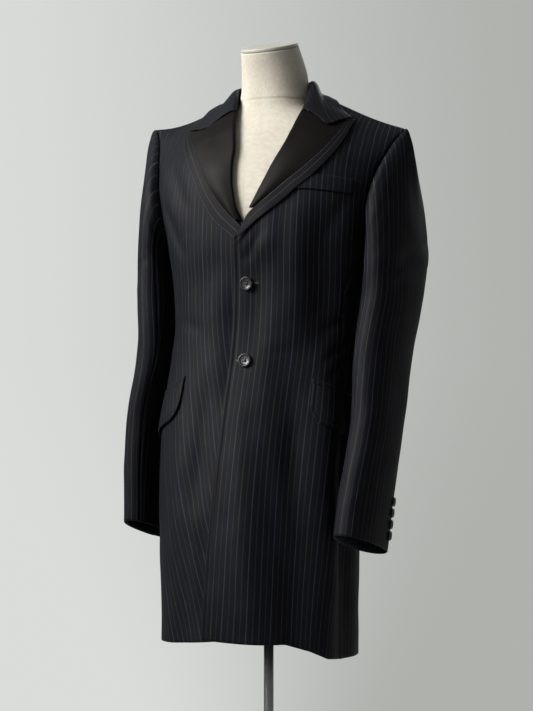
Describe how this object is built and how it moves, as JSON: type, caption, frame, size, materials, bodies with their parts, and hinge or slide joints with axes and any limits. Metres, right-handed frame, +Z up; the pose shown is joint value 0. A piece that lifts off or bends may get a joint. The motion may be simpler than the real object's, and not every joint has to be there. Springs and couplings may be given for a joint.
{
  "type": "tuxedo jacket worn on a limbless dress form",
  "caption": "Long single-breasted pinstripe jacket with satin-faced peak lapels and flap pockets, worn on a limbless linen dress form on a pole with a round base.",
  "frame": {"origin": "on the floor, at the centre of the round base's underside, under the pole", "axes": "+Z up along the pole, -Y is the way the jacket faces, +X is the wearer's left"},
  "size_m": [0.4849, 0.3269, 1.5375],
  "materials": {
    "pinstripe_wool": "worsted wool twill with a fine clear finish and narrow light stripes",
    "satin_facing": "satin-weave silk with a soft sheen",
    "dark_button": "polished dark polyester resin",
    "linen_cover": "plain-weave linen stretched over the form",
    "neck_cap_paint": "satin paint",
    "brushed_pole": "brushed and lacquered"
  },
  "bodies": {
    "root": {"front_left": "pinstripe_wool", "front_right": "pinstripe_wool", "side_left": "pinstripe_wool", "side_right": "pinstripe_wool", "back_left": "pinstripe_wool", "back_right": "pinstripe_wool", "sleeve_top_left": "pinstripe_wool", "sleeve_top_right": "pinstripe_wool", "sleeve_under_left": "pinstripe_wool", "sleeve_under_right": "pinstripe_wool", "lapel_satin_left": "satin_facing", "lapel_satin_right": "satin_facing", "lapel_border_left": "pinstripe_wool", "lapel_border_right": "pinstripe_wool", "collar": "pinstripe_wool", "welt_pocket": "pinstripe_wool", "flap_left": "pinstripe_wool", "flap_right": "pinstripe_wool", "jet_left": "pinstripe_wool", "jet_right": "pinstripe_wool", "button_1": "dark_button", "button_2": "dark_button", "cuff_button_left_1": "dark_button", "cuff_button_left_2": "dark_button", "cuff_button_left_3": "dark_button", "cuff_button_left_4": "dark_button", "cuff_button_right_1": "dark_button", "cuff_button_right_2": "dark_button", "cuff_button_right_3": "dark_button", "cuff_button_right_4": "dark_button", "form": "linen_cover", "neck_cap": "neck_cap_paint", "pole": "brushed_pole", "base": "brushed_pole"}
  },
  "joints": []
}
